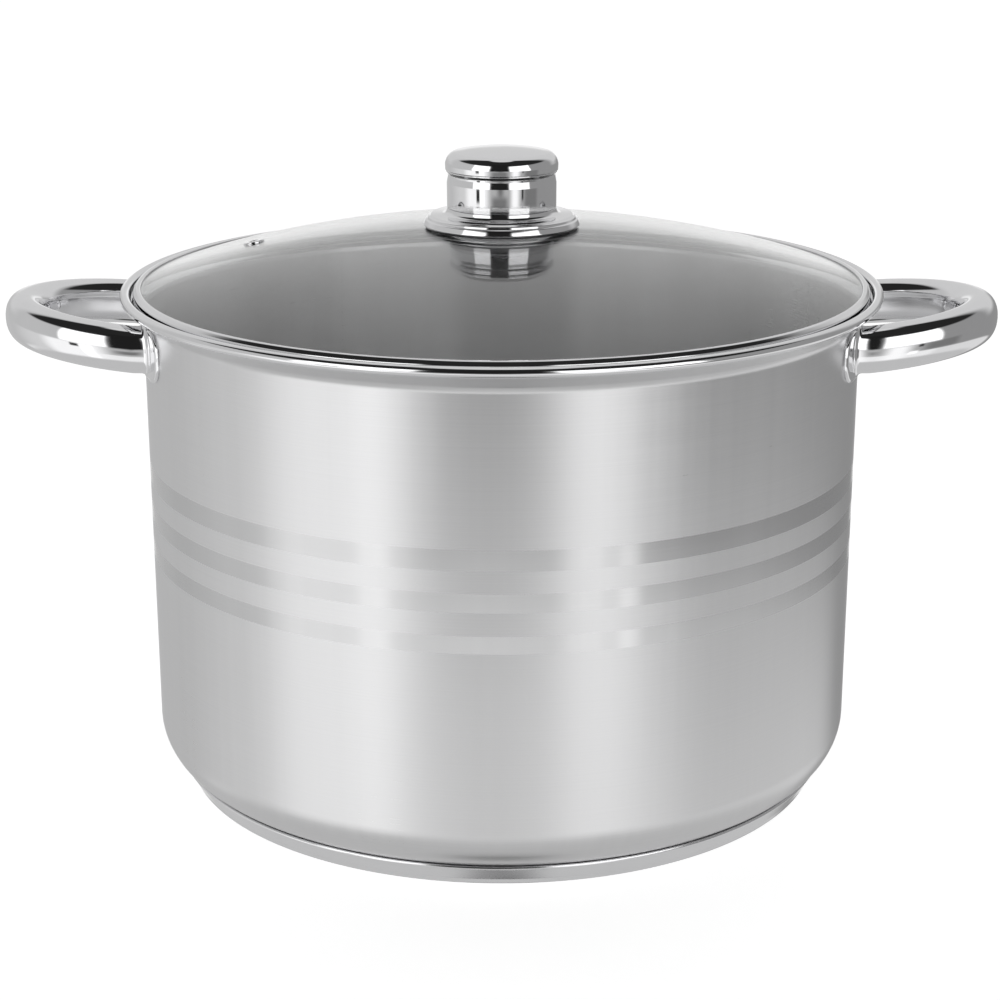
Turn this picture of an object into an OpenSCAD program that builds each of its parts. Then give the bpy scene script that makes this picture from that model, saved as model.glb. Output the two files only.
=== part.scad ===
// Water bath canner: a wide steel pot with a sandwich base, two hollow loop handles,
// a banded glass lid with a steam vent and a capped knob, and a wire jar rack inside.
// Millimetres, +Z up. The origin is on the axis, on the plane that the pot stands on.

/* [Pot] */
// Outer diameter of the wall
pot_d = 360; // [350:1:370]
// Height of the rim's top above the table
pot_h = 254.5; // [252:0.5:262]
// Thickness of the wall and floor
sheet = 1; // [0.8:0.1:1.2]
// Outside radius of the bottom corner
corner_r = 25; // [22:1:28]
// Diameter of the rolled rim bead
bead_d = 5; // [4.6:0.1:5.4]
// How far the bead's outer edge stands out from the wall
bead_reach = 11; // [11:0.5:12]

/* [Base] */
// Height of the pot's underside above the table
floor_z = 7; // [6:0.5:8]
// Diameter of the flat face that the pot stands on
foot_d = 330; // [324:1:332]
// Diameter of the base cap's open edge
cap_d = 340.6; // [340:0.2:342]
// Height of the base cap's open edge
cap_h = 11; // [10.5:0.5:11.5]

/* [Handles] */
// Overall width across both handles
span = 502; // [490:1:514]
// Distance from the centre plane to the middle of each foot
foot_y = 53; // [50:1:56]
// Width of the hollow section
grip_w = 16; // [14:0.5:18]
// Height of the hollow section
grip_h = 23.4; // [21:0.2:25]
// Thickness of the handle's shell
grip_t = 1.2; // [1:0.1:1.5]
// Height of the feet's middle above the table
grip_z = 230.5; // [229:0.5:233]
// Upward tilt of the loop in degrees
grip_tilt = 6; // [3:0.1:7]

/* [Lid] */
// Outer diameter of the lid's steel band
lid_d = 368.8; // [368:0.2:369.2]
// Height of the top of the glass above the table
dome_z = 283; // [281:0.5:285]
// Outside radius of the glass dome
dome_r = 594; // [580:1:620]
// Thickness of the glass
glass_t = 4; // [3.5:0.5:4.5]
// Distance of the steam vent from the axis
vent_r = 130; // [110:1:150]
// Direction of the steam vent in degrees
vent_angle = 168.9; // [150:0.1:180]

/* [Knob] */
// Diameter of the knob's sleeve
knob_d = 55.2; // [52:0.2:56]
// Height of the knob's top above the table
knob_z = 321.5; // [320:0.5:323]
// Diameter of the flared skirt
skirt_d = 78.8; // [76:0.2:80]

/* [Jar rack] */
// Centreline diameter of the two outer rings
rack_d = 316; // [312:1:318]
// Height of the top ring above the table
rack_z = 66; // [64:0.5:68]
// Centreline diameter of the hub rings, which hold the middle jar
hub_d = 100; // [98:1:102]
// Number of jars around the hub
jars = 6; // [6]
// Diameter of the ring and bail wire
heavy_wire = 5; // [4.6:0.1:5.2]
// Diameter of the floor and divider wire
light_wire = 3.5; // [3:0.1:3.8]
// Spacing of the floor wires
floor_pitch = 32; // [30:1:34]
// Length of each lifting bail
bail_l = 118; // [110:1:120]
// Distance of each bail eye from the centre plane
eye_y = 80; // [78:1:82]

/* [Hidden] */
$fn = 128;

pot_r = pot_d / 2;
bead_r = bead_d / 2;
bead_x = pot_r + bead_reach - bead_r;
bead_z = pot_h - bead_r;
lip_x = bead_x - bead_r;             // inner face of the bead
flare_z = 243;                       // where the wall starts to flare
knob_r = knob_d / 2;
skirt_r = skirt_d / 2;
lid_r = lid_d / 2;
dome_c = dome_z - dome_r;            // height of the dome's centre
band_low = 248.6;
band_high = 255.6;
band_t = 1;
glass_r = lid_r - band_t - 0.1;
weld = 0.4;                          // how deep two welded wires sink into each other
rack_r = rack_d / 2;
hub_r = hub_d / 2;
heavy_r = heavy_wire / 2;
light_r = light_wire / 2;
base_ring_z = 18;
floor_wire_z = base_ring_z + heavy_r + light_r - weld;
cross_wire_z = floor_wire_z - light_wire + weld;
cross_wire_y = 80;
rack_foot_x = 115;
rack_foot_r = 6;
rack_foot_z = floor_z + sheet + 0.35 + light_r + rack_foot_r;
lower_hub_z = floor_wire_z + light_wire - weld;
eye_r = 4.2;
eye_l = 10;
eye_bore_r = heavy_r + 0.06;
eye_z = rack_z + heavy_r + eye_r - 0.5;
eye_x = round(100 * sqrt(rack_r * rack_r - eye_y * eye_y)) / 100;

STEEL = [0.78, 0.78, 0.79];
POLISHED = [0.88, 0.88, 0.9];
ALUMINIUM = [0.68, 0.69, 0.71];
GLASS = [0.8, 0.9, 0.92, 0.4];
SILICONE = [0.2, 0.2, 0.21];
PHENOLIC = [0.08, 0.08, 0.08];
BRASS = [0.8, 0.65, 0.3];

// ---- shared shapes ----

// Half section of a pot-shaped solid: flat floor, round corner, straight wall, flared mouth
module vessel_section(r, z, corner, flare_at, mouth) {
    translate([0, z]) square([r - corner, corner]);
    translate([0, z + corner]) square([r, flare_at - z - corner]);
    translate([r - corner, z + corner]) circle(corner);
    polygon([[0, flare_at - 1], [r, flare_at - 1], [r, flare_at], mouth, [0, mouth[1]]]);
}

// Square-ended stadium: w wide along X, h tall along Y
module stadium(w, h) {
    square([w, h - w], center = true);
    for (s = [-1, 1]) translate([0, s * (h - w) / 2]) circle(w / 2);
}

// Half section of the glass dome, made larger by gap on every side
module dome_section(gap = 0) {
    intersection() {
        translate([0, dome_c]) difference() {
            circle(dome_r + gap, $fn = 512);
            circle(dome_r - glass_t - gap, $fn = 512);
        }
        square([glass_r + gap, dome_z + 20]);
    }
}

module ring(r, z, wire_r) {
    translate([0, 0, z]) rotate_extrude() translate([r, 0]) circle(wire_r);
}

// Straight round wire from one point to another
module wire(from, to, r) {
    d = to - from;
    length = norm(d);
    translate(from) rotate([0, acos(d[2] / length), atan2(d[1], d[0])]) cylinder(r = r, h = length);
}

// ---- pot ----

// One spun sheet: floor, round corner, straight wall, flared mouth and a rolled bead
module pot_shell() {
    mouth_z = bead_z - 2.6;              // where the flare runs into the bead
    color(STEEL) rotate_extrude() {
        difference() {
            vessel_section(pot_r, floor_z, corner_r, flare_z, [lip_x + sheet, mouth_z]);
            vessel_section(pot_r - sheet, floor_z + sheet, corner_r - sheet, flare_z, [lip_x, mouth_z + 0.6]);
            translate([-1, mouth_z + 0.5]) square([lip_x + 1, 10]);
        }
        translate([lip_x, mouth_z]) square([bead_r, bead_z - mouth_z]);
        translate([bead_x, bead_z]) circle(bead_r);
    }
}

// Cup section under the pot: flat foot, chamfered edge and a sloping side
module cup_section(inset) {
    chamfer_w = 3;
    chamfer_x = foot_d / 2 + 0.4;
    chamfer_z = 2.2;
    polygon([
        [0, inset], [foot_d / 2 - chamfer_w, inset], [chamfer_x - inset, chamfer_z],
        [cap_d / 2 - inset, cap_h], [0, cap_h]
    ]);
}

// The aluminium layer that fills the cap up to just below its open edge
module base_disc() {
    edge_gap = 0.8;
    color(ALUMINIUM) rotate_extrude() difference() {
        cup_section(sheet);
        vessel_section(pot_r, floor_z, corner_r, flare_z, [lip_x, bead_z]);
        translate([0, cap_h - edge_gap]) square([pot_r, 5]);
    }
}

module base_cap() {
    color(POLISHED) rotate_extrude() difference() {
        cup_section(0);
        cup_section(sheet);
        translate([0, floor_z + sheet / 2]) square([pot_r - corner_r, 10]);
    }
}

// ---- handles ----

wall_x = pot_r - sheet;
loop_x = span / 2 - grip_w / 2 - foot_y;   // centre of the loop's half circle
foot_t = 2.2;

module grip_section(inset) {
    stadium(grip_w - 2 * inset, grip_h - 2 * inset);
}

// The loop's centreline is a half circle with a straight arm into each foot
module grip_loop(inset) {
    translate([loop_x, 0, 0]) rotate([0, 0, -90]) rotate_extrude(angle = 180)
        translate([foot_y, 0]) grip_section(inset);
    for (s = [-1, 1]) translate([wall_x - 8, s * foot_y, 0]) rotate([90, 0, 90])
        linear_extrude(loop_x - wall_x + 8) grip_section(inset);
}

// A bent tube, trimmed at both ends to sit on its feet
module handle() {
    difference() {
        translate([wall_x, 0, grip_z]) rotate([0, -grip_tilt, 0]) translate([-wall_x, 0, 0])
            difference() {
                grip_loop(0);
                grip_loop(grip_t);
            }
        translate([0, 0, grip_z - 50]) cylinder(r = pot_r + foot_t, h = 100);
    }
}

// Rectangle with round corners
module plate_outline(w, h) {
    corner = 11;
    square([w, h - 2 * corner], center = true);
    square([w - 2 * corner, h], center = true);
    for (sx = [-1, 1], sy = [-1, 1]) translate([sx * (w / 2 - corner), sy * (h / 2 - corner)]) circle(corner);
}

// The two curved plates that the loop is welded to, seated on the wall
module handle_feet() {
    plate_w = grip_w + 14;
    plate_h = grip_h + 1.6;
    plate_y = foot_y + 7.5;              // each plate reaches further on the loop's outer side
    plate_z = grip_z - 1.2;
    intersection() {
        translate([0, 0, plate_z - plate_h]) difference() {
            cylinder(r = pot_r + foot_t, h = 2 * plate_h);
            translate([0, 0, -1]) cylinder(r = pot_r, h = 2 * plate_h + 2);
        }
        for (s = [-1, 1]) translate([pot_r - 40, s * plate_y, plate_z]) rotate([90, 0, 90])
            linear_extrude(60) plate_outline(plate_w, plate_h);
    }
}

module handle_right() { color(POLISHED) handle(); }
module handle_left() { color(POLISHED) mirror([1, 0, 0]) handle(); }
module handle_feet_right() { color(POLISHED) handle_feet(); }
module handle_feet_left() { color(POLISHED) mirror([1, 0, 0]) handle_feet(); }

// ---- lid ----

vent_tilt = asin(vent_r / dome_r);
vent_hole_r = 3.6;
screw_hole_r = 4;

// Puts its children on the dome's outside, with +Z along the dome's normal
module at_vent() {
    rotate([0, 0, vent_angle]) translate([0, 0, dome_c]) rotate([0, vent_tilt, 0])
        translate([0, 0, dome_r]) children();
}

module lid_glass() {
    color(GLASS) difference() {
        rotate_extrude() dome_section();
        translate([0, 0, dome_z - 20]) cylinder(r = screw_hole_r, h = 40);
        at_vent() translate([0, 0, -15]) cylinder(r = vent_hole_r, h = 30);
    }
}

// A steel channel rolled over the glass edge
module lid_band() {
    lip_w = 3.8;
    edge_r = 0.9;
    color(POLISHED) rotate_extrude() difference() {
        union() {
            translate([lid_r - lip_w, band_low]) square([lip_w - edge_r, band_high - band_low]);
            translate([lid_r - edge_r, band_low + edge_r])
                square([edge_r, band_high - band_low - 2 * edge_r]);
            for (z = [band_low + edge_r, band_high - edge_r]) translate([lid_r - edge_r, z]) circle(edge_r);
        }
        dome_section(0.02);
    }
}

// A riveted eyelet with a flange on each side of the glass
module vent_eyelet() {
    bore_r = 2.2;
    flange_r = 5.5;
    flange_t = 0.9;
    tube_r = vent_hole_r - 0.02;
    color(POLISHED) at_vent() difference() {
        union() {
            translate([0, 0, 0.05]) cylinder(r = flange_r, h = flange_t);
            translate([0, 0, -glass_t - 0.1 - flange_t]) cylinder(r = flange_r - 0.5, h = flange_t);
            translate([0, 0, -glass_t - 0.5]) cylinder(r = tube_r, h = glass_t + 1);
        }
        translate([0, 0, -10]) cylinder(r = bore_r, h = 20);
    }
}

// ---- knob ----

gasket_top = dome_z + 0.6;
shank_r = 2.5;
insert_r = 4.5;
sleeve_low = 292;
sleeve_high = 310.2;
cap_low = 310.4;
shell_t = 0.9;
cap_r = knob_r + 0.9;
seat_w = 3.5;                        // width of the sleeve's seat on the skirt
seat_drop = 0.4;                     // how far the seat lies below the sleeve's side

// A flat-topped disc whose underside follows the dome
module gasket_upper() {
    hole_r = shank_r + 0.5;
    rim_r = skirt_r - 1.4;
    steps = 8;
    underside = [
        for (i = [0 : steps])
            let (r = hole_r + (rim_r - hole_r) * i / steps)
                [r, dome_c + sqrt(pow(dome_r + 0.03, 2) - r * r)]
    ];
    color(SILICONE) rotate_extrude()
        polygon(concat(underside, [[rim_r, gasket_top], [hole_r, gasket_top]]));
}

// A spun flange that flares out from under the sleeve to a rolled edge
module knob_skirt() {
    roll_r = 1.3;
    roll_x = skirt_r - roll_r;
    neck_x = knob_r - seat_w;
    neck_z = sleeve_low - seat_drop;
    color(POLISHED) rotate_extrude() {
        polygon([
            [neck_x, neck_z - 1.1], [knob_r, neck_z - 1.1],
            [roll_x - 2.1, gasket_top + 3.2], [roll_x, gasket_top + 0.8],
            [roll_x, gasket_top + 2], [roll_x - 1.7, gasket_top + 4.9],
            [knob_r + 0.4, neck_z], [neck_x, neck_z]
        ]);
        translate([roll_x, gasket_top + 1.35]) circle(roll_r);
    }
}

// A drawn tube, turned in at the bottom onto the skirt and at the top under the cap
module knob_sleeve() {
    top_w = 2.4;
    color(POLISHED) rotate_extrude() {
        translate([knob_r - shell_t, sleeve_low]) square([shell_t, sleeve_high - sleeve_low]);
        translate([knob_r - seat_w, sleeve_low - seat_drop]) square([seat_w, shell_t]);
        translate([knob_r - top_w, sleeve_high - shell_t]) square([top_w, shell_t]);
    }
}

// Half section of the cap: straight side, round edge and a slightly domed top
module knob_cap_section(inset) {
    edge_r = 6.5;
    r = cap_r - inset;
    crown_h = 2.6;
    crown_r = (pow(cap_r - edge_r, 2) + pow(crown_h, 2)) / (2 * crown_h);
    top = knob_z - crown_h - inset;
    translate([0, cap_low]) square([r, top - edge_r - cap_low]);
    translate([0, cap_low]) square([r - edge_r, top - cap_low]);
    intersection() {
        translate([r - edge_r, top - edge_r]) circle(edge_r);
        translate([0, cap_low]) square([r, top - cap_low]);
    }
    intersection() {
        translate([0, knob_z - inset - crown_r]) circle(crown_r, $fn = 256);
        translate([0, top - 1]) square([r - edge_r, 10]);
    }
}

module knob_cap() {
    color(POLISHED) rotate_extrude() difference() {
        knob_cap_section(0);
        knob_cap_section(shell_t);
        translate([0, cap_low - 1]) square([cap_r - shell_t, 1.5]);
    }
}

// The moulded body that carries the three steel skins, with a seat for the threaded insert
module knob_core() {
    core_r = knob_r - shell_t - 0.1;
    insert_depth = 17;
    color(PHENOLIC) difference() {
        union() {
            translate([0, 0, gasket_top]) cylinder(r = knob_r - 4, h = sleeve_low - gasket_top + 1);
            translate([0, 0, sleeve_low + 0.6]) cylinder(r = core_r, h = sleeve_high - sleeve_low - 1.6);
            translate([0, 0, sleeve_high - 2]) cylinder(r = knob_r - 2.5, h = cap_low + 3 - sleeve_high);
        }
        translate([0, 0, gasket_top - 1]) cylinder(r = insert_r, h = insert_depth);
    }
}

// The threaded brass bush in the core
module knob_insert() {
    color(BRASS) translate([0, 0, gasket_top]) difference() {
        cylinder(r = insert_r - 0.02, h = 15);
        translate([0, 0, -1]) cylinder(r = shank_r + 0.03, h = 20);
    }
}

cup_r = 26.2;
cup_top = 277.3;
cup_low = 267.8;
washer_h = 1;
washer_low = cup_low - 0.02 - washer_h;

// A soft ring between the glass and the cup's rim
module gasket_lower() {
    inner_r = cup_r - 3;
    underside_r = dome_r - glass_t - 0.03;
    steps = 4;
    topside = [
        for (i = [0 : steps])
            let (r = cup_r - (cup_r - inner_r) * i / steps)
                [r, dome_c + sqrt(pow(underside_r, 2) - r * r)]
    ];
    color(SILICONE) rotate_extrude()
        polygon(concat([[inner_r, cup_top + 0.02], [cup_r, cup_top + 0.02]], topside));
}

// Half section of the cup, with a round lower edge
module lower_cup_section(inset) {
    edge_r = 3;
    r = cup_r - inset;
    low = cup_low + inset;
    translate([0, low]) square([r - edge_r, 20]);
    translate([0, low + edge_r]) square([r, 20]);
    translate([r - edge_r, low + edge_r]) circle(edge_r);
}

// The steel cup that the screw pulls up against the glass, mouth upwards
module lower_cup() {
    color(POLISHED) difference() {
        rotate_extrude() difference() {
            lower_cup_section(0);
            lower_cup_section(shell_t);
            translate([0, cup_top]) square([cup_r + 1, 30]);
        }
        translate([0, 0, cup_low - 1]) cylinder(r = shank_r + 0.3, h = 5);
    }
}

module screw_washer() {
    color(STEEL) translate([0, 0, washer_low]) difference() {
        cylinder(r = 7, h = washer_h);
        translate([0, 0, -1]) cylinder(r = shank_r + 0.3, h = 3);
    }
}

// The cross-slotted screw that clamps the knob through the glass
module knob_screw() {
    head_r = 5;
    head_h = 2.8;
    shank_h = 28;
    color(STEEL) translate([0, 0, washer_low]) difference() {
        union() {
            translate([0, 0, -head_h]) cylinder(r = head_r, h = head_h);
            cylinder(r = shank_r, h = shank_h);
        }
        translate([0, 0, -head_h - 1]) for (a = [0, 90]) rotate([0, 0, a])
            translate([-3, -0.6, 0]) cube([6, 1.2, 2.4]);
    }
}

// ---- jar rack ----

function spoke_angle(i) = i * 360 / jars;

module rack_base_ring() { color(POLISHED) ring(rack_r, base_ring_z, heavy_r); }
module rack_top_ring() { color(POLISHED) ring(rack_r, rack_z, heavy_r); }

module rack_hub_rings() {
    color(POLISHED) for (z = [lower_hub_z, rack_z]) ring(hub_r, z, light_r);
}

// The wires that the jars stand on
module rack_floor_wires() {
    color(POLISHED) for (i = [-4 : 4]) {
        x = i * floor_pitch;
        y = sqrt(rack_r * rack_r - x * x);
        wire([x, -y, floor_wire_z], [x, y, floor_wire_z], light_r);
    }
}

// Two wires across and under the floor wires, which carry the feet
module rack_cross_wires() {
    x = sqrt(rack_r * rack_r - cross_wire_y * cross_wire_y);
    color(POLISHED) for (s = [-1, 1])
        wire([-x, s * cross_wire_y, cross_wire_z], [x, s * cross_wire_y, cross_wire_z], light_r);
}

// U-shaped feet under the cross wires
module rack_feet() {
    color(POLISHED) for (sx = [-1, 1], sy = [-1, 1])
        translate([sx * rack_foot_x, sy * cross_wire_y, rack_foot_z]) {
            rotate([90, 180, 0]) rotate_extrude(angle = 180) translate([rack_foot_r, 0]) circle(light_r);
            for (s = [-1, 1]) translate([s * rack_foot_r, 0, 0])
                cylinder(r = light_r, h = cross_wire_z - rack_foot_z);
        }
}

// Two uprights for each jar, between the outer rings
module rack_uprights() {
    count = 2 * jars;
    color(POLISHED) for (i = [0 : count - 1]) rotate([0, 0, (i + 0.5) * 360 / count])
        wire([rack_r, 0, base_ring_z], [rack_r, 0, rack_z], light_r);
}

// Spokes that part the ring of jars, from the hub to the top ring
module rack_spokes() {
    color(POLISHED) for (i = [0 : jars - 1]) rotate([0, 0, spoke_angle(i)])
        wire([hub_r, 0, rack_z], [rack_r, 0, rack_z], light_r);
}

// Posts between the two hub rings
module rack_posts() {
    color(POLISHED) for (i = [0 : jars - 1]) rotate([0, 0, spoke_angle(i)])
        wire([hub_r, 0, lower_hub_z], [hub_r, 0, rack_z], light_r);
}

// Tubes on the top ring that the bails turn in
module rack_eyes() {
    color(POLISHED) for (sx = [-1, 1], sy = [-1, 1])
        translate([sx * eye_x, sy * eye_y, eye_z]) rotate([90, 0, 0]) difference() {
            cylinder(r = eye_r, h = eye_l, center = true);
            cylinder(r = eye_bore_r, h = eye_l + 2, center = true);
        }
}

// A bent-wire bail lying folded towards the middle, with its end pins in the eyes
module bail() {
    pin_bend = 5;
    far_bend = 22;
    arm_y = eye_y - eye_l / 2 - 0.3 - pin_bend;
    pin_end = eye_y + eye_l / 2 + 1.5;
    far_x = eye_x - bail_l;
    translate([0, 0, eye_z]) {
        for (s = [0, 1]) mirror([0, s, 0]) {
            wire([eye_x, arm_y + pin_bend, 0], [eye_x, pin_end, 0], heavy_r);
            translate([eye_x - pin_bend, arm_y + pin_bend, 0]) rotate([0, 0, -90])
                rotate_extrude(angle = 90) translate([pin_bend, 0]) circle(heavy_r);
            wire([far_x + far_bend, arm_y, 0], [eye_x - pin_bend, arm_y, 0], heavy_r);
            translate([far_x + far_bend, arm_y - far_bend, 0]) rotate([0, 0, 90])
                rotate_extrude(angle = 90) translate([far_bend, 0]) circle(heavy_r);
        }
        wire([far_x, far_bend - arm_y, 0], [far_x, arm_y - far_bend, 0], heavy_r);
    }
}

module bail_right() { color(POLISHED) bail(); }
module bail_left() { color(POLISHED) mirror([1, 0, 0]) bail(); }

pot_shell();
base_disc();
base_cap();
handle_left();
handle_right();
handle_feet_left();
handle_feet_right();
lid_glass();
lid_band();
vent_eyelet();
knob_cap();
knob_sleeve();
knob_skirt();
knob_core();
knob_insert();
knob_screw();
screw_washer();
lower_cup();
gasket_upper();
gasket_lower();
rack_base_ring();
rack_floor_wires();
rack_cross_wires();
rack_feet();
rack_uprights();
rack_top_ring();
rack_hub_rings();
rack_spokes();
rack_posts();
rack_eyes();
bail_left();
bail_right();
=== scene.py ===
"""Water bath canner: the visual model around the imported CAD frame. Metres, +Z up, front towards -Y."""

import math

import bmesh
import bpy
from mathutils import Matrix, Vector


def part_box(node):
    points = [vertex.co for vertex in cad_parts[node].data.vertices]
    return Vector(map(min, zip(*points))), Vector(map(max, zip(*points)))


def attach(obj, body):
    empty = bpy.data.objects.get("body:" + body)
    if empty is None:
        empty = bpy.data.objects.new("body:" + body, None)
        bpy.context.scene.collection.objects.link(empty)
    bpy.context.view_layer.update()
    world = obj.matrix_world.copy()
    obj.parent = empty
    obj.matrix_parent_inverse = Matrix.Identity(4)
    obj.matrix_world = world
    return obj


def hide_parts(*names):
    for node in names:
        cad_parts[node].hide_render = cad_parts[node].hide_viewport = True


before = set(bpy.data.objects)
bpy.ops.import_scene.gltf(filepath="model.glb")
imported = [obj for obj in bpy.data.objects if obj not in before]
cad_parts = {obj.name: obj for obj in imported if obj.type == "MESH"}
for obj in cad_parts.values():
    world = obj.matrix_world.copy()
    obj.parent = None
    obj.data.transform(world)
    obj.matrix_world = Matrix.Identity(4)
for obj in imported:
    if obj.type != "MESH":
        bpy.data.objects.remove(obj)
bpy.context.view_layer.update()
MM = 0.001

# ---- dimensions: places come from the CAD frame, the rest are the sheet-metal details ----

POT_LOW, POT_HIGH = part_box("pot_shell")
SHEET = 1.0 * MM
BEAD_R = 2.5 * MM
WALL_R = POT_HIGH.x - 11 * MM
FLOOR_Z = POT_LOW.z
CORNER_R = 25 * MM
FLARE_Z = 243 * MM
BEAD_X = POT_HIGH.x - BEAD_R
BEAD_Z = POT_HIGH.z - BEAD_R
POLISHED_BANDS = [(120.5 * MM, 129 * MM), (140 * MM, 149 * MM), (159.5 * MM, 169.4 * MM)]
SEGMENTS = 256
FINE_SEGMENTS = 320


# ---- mesh helpers ----


def arc(centre, radius, start, end, steps):
    """Points on an arc, with angles in degrees from the +r direction."""
    angles = [math.radians(start + (end - start) * i / steps) for i in range(steps + 1)]
    return [(centre[0] + radius * math.cos(a), centre[1] + radius * math.sin(a)) for a in angles]


def rounded(corners, steps=8):
    """A closed outline from (r, z) or (r, z, fillet radius) corners."""
    outline = []
    for i, corner in enumerate(corners):
        here = Vector(corner[:2])
        if len(corner) == 2:
            outline.append(here)
            continue
        before = (Vector(corners[i - 1][:2]) - here).normalized()
        after = (Vector(corners[(i + 1) % len(corners)][:2]) - here).normalized()
        half = before.angle(after) / 2
        centre = here + (before + after).normalized() * corner[2] / math.sin(half)
        reach = corner[2] / math.tan(half)
        first = here + before * reach - centre
        last = here + after * reach - centre
        sweep = math.atan2(first.cross(last), first.dot(last))
        for k in range(steps + 1):
            outline.append(centre + Matrix.Rotation(sweep * k / steps, 2) @ first)
    return outline


def finish_mesh(name, bm, material, smooth_angle=35):
    """An object from a bmesh, with outward normals and smooth shading up to an angle."""
    bmesh.ops.remove_doubles(bm, verts=bm.verts, dist=1e-7)
    bmesh.ops.recalc_face_normals(bm, faces=bm.faces)
    mesh = bpy.data.meshes.new(name)
    bm.to_mesh(mesh)
    bm.free()
    mesh.shade_smooth()
    mesh.set_sharp_from_angle(angle=math.radians(smooth_angle))
    mesh.materials.append(material)
    piece = bpy.data.objects.new(name, mesh)
    bpy.context.scene.collection.objects.link(piece)
    return piece


def add_lathe(bm, outline, segments=SEGMENTS, place=Matrix.Identity(4)):
    """Revolves a closed (r, z) outline round +Z of place."""
    rings = []
    for r, z in outline:
        count = 1 if r < 1e-9 else segments
        angles = [2 * math.pi * k / segments for k in range(count)]
        points = [Vector((r * math.cos(a), r * math.sin(a), z)) for a in angles]
        rings.append([bm.verts.new(place @ point) for point in points])
    for ring, after in zip(rings, rings[1:] + rings[:1]):
        if len(ring) == len(after) == 1:
            continue
        for k in range(segments):
            k_next = (k + 1) % segments
            corners = [ring[k % len(ring)], ring[k_next % len(ring)]]
            corners += [after[k_next % len(after)], after[k % len(after)]]
            bm.faces.new(list(dict.fromkeys(corners)))


def lathe(name, outline, material, segments=SEGMENTS, place=Matrix.Identity(4)):
    """A piece turned from one closed (r, z) outline."""
    bm = bmesh.new()
    add_lathe(bm, outline, segments, place)
    return finish_mesh(name, bm, material)


def add_loft(bm, rings):
    """Skins a row of rings with the same number of points, with a cap on each end."""
    verts = [[bm.verts.new(p) for p in ring] for ring in rings]
    count = len(rings[0])
    bm.faces.new(verts[0])
    bm.faces.new(verts[-1])
    for ring, after in zip(verts, verts[1:]):
        for k in range(count):
            bm.faces.new([ring[k], ring[(k + 1) % count], after[(k + 1) % count], after[k]])


def domed_end(station, way):
    """Ever smaller sections past the end of a wire, from its tip inwards."""
    point, tangent, side, radius = station
    ends = []
    for degrees in (80, 60, 40, 20):
        a = math.radians(degrees)
        centre = point + tangent * (way * radius * math.sin(a))
        ends.append((centre, tangent, side, radius * math.cos(a)))
    return ends


def add_wire(bm, path, radius, sides=16):
    """A round wire along a path, with domed ends."""
    path = [Vector(p) for p in path]
    steps = [path[1] - path[0]]
    steps += [after - before for before, after in zip(path, path[2:])]
    steps.append(path[-1] - path[-2])
    tangents = [step.normalized() for step in steps]
    side = tangents[0].orthogonal().normalized()
    stations = []
    for point, tangent in zip(path, tangents):
        side = (side - tangent * side.dot(tangent)).normalized()
        stations.append((point, tangent, side, radius))
    tail = domed_end(stations[-1], 1)
    stations = domed_end(stations[0], -1) + stations + tail[::-1]
    rings = []
    for point, tangent, side, r in stations:
        other = tangent.cross(side)
        angles = [2 * math.pi * k / sides for k in range(sides)]
        rings.append([point + side * (r * math.cos(a)) + other * (r * math.sin(a)) for a in angles])
    add_loft(bm, rings)


def add_weld(bm, place, radius):
    """A small rounded nugget where two wires are resistance-welded."""
    made = bmesh.ops.create_icosphere(bm, subdivisions=2, radius=radius)
    bmesh.ops.translate(bm, verts=made["verts"], vec=Vector(place))


def wires(name, paths, radius, material, welds):
    """Straight or bent wires in one piece, with the nuggets that join them."""
    bm = bmesh.new()
    for path in paths:
        add_wire(bm, path, radius)
    for place in welds:
        add_weld(bm, place, radius * 1.25)
    return finish_mesh(name, bm, material, smooth_angle=60)


def fit(piece, body, slot, *nodes):
    """The piece rides on a body and stands for CAD nodes, which are hidden; the slot argument is not
    used.
    """
    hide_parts(*nodes)
    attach(piece, body)
    return piece


# ---- shader helpers ----


def add(tree, kind, links=None, **settings):
    """A new node: settings are attributes, links are {input: socket or value}."""
    node = tree.nodes.new(kind)
    for key, value in settings.items():
        setattr(node, key, value)
    for key, value in (links or {}).items():
        if isinstance(value, bpy.types.NodeSocket):
            tree.links.new(value, node.inputs[key])
        else:
            node.inputs[key].default_value = value
    return node


def calc(tree, operation, *values):
    """The result of a Math node."""
    return add(tree, "ShaderNodeMath", dict(enumerate(values)), operation=operation).outputs[0]


def ramp(tree, value, low, high, out_low=0.0, out_high=1.0):
    """Smooth step from one value to another as the input goes from low to high."""
    links = {"Value": value, "From Min": low, "From Max": high, "To Min": out_low, "To Max": out_high}
    return add(tree, "ShaderNodeMapRange", links, interpolation_type="SMOOTHSTEP").outputs[0]


def window(tree, value, low, high, soft):
    """1 between low and high, fading to 0 across each edge."""
    rise = ramp(tree, value, low - soft, low + soft)
    fall = ramp(tree, value, high - soft, high + soft, 1.0, 0.0)
    return calc(tree, "MULTIPLY", rise, fall)


def blend_value(tree, mask, low, high):
    """Low where the mask is 0 and high where it is 1."""
    return calc(tree, "MULTIPLY_ADD", mask, calc(tree, "SUBTRACT", high, low), low)


def new_material(name, color, metallic, roughness):
    """A Principled material and its tree, with the constants set on the shader's own sockets."""
    material = bpy.data.materials.new(name)
    material.use_nodes = True
    tree = material.node_tree
    bsdf = tree.nodes["Principled BSDF"]
    bsdf.inputs["Base Color"].default_value = (*color, 1)
    bsdf.inputs["Metallic"].default_value = metallic
    bsdf.inputs["Roughness"].default_value = roughness
    return material, tree, bsdf


def object_place(tree):
    """The point's place in the piece's own coordinates."""
    return add(tree, "ShaderNodeTexCoord").outputs["Object"]


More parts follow.
